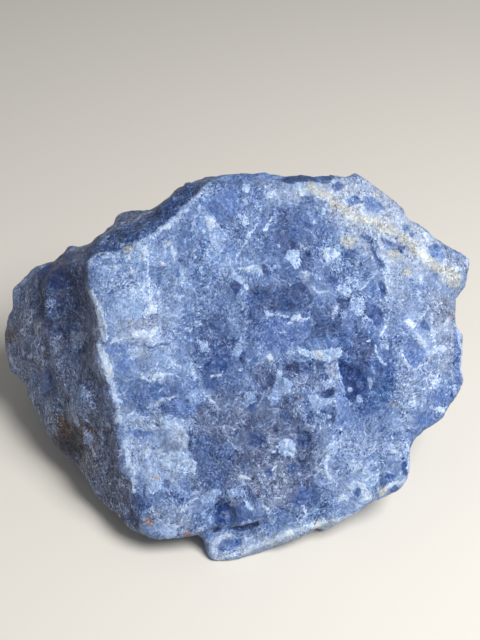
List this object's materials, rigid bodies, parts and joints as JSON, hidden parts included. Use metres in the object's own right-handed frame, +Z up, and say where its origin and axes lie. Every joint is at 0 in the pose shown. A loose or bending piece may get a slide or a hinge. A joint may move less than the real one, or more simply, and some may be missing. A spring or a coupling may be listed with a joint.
{
  "type": "raw sodalite chunk",
  "caption": "Rough chunk of blue sodalite with a large fresh break facing up, a dark weathered side, a thin ledge along its foot and a flat underside to stand on.",
  "frame": {"origin": "middle of the stone's outline, at the level of its flat underside", "axes": "+Z up, -Y towards the side that the large fresh break faces, +X to the right as the break is looked at, along the stone's longest side"},
  "size_m": [0.088, 0.0618, 0.0517],
  "materials": {
    "sodalite": "freshly broken, fine sugary grain with a faint waxy shine"
  },
  "bodies": {
    "root": {"sodalite_chunk": "sodalite"}
  },
  "joints": []
}
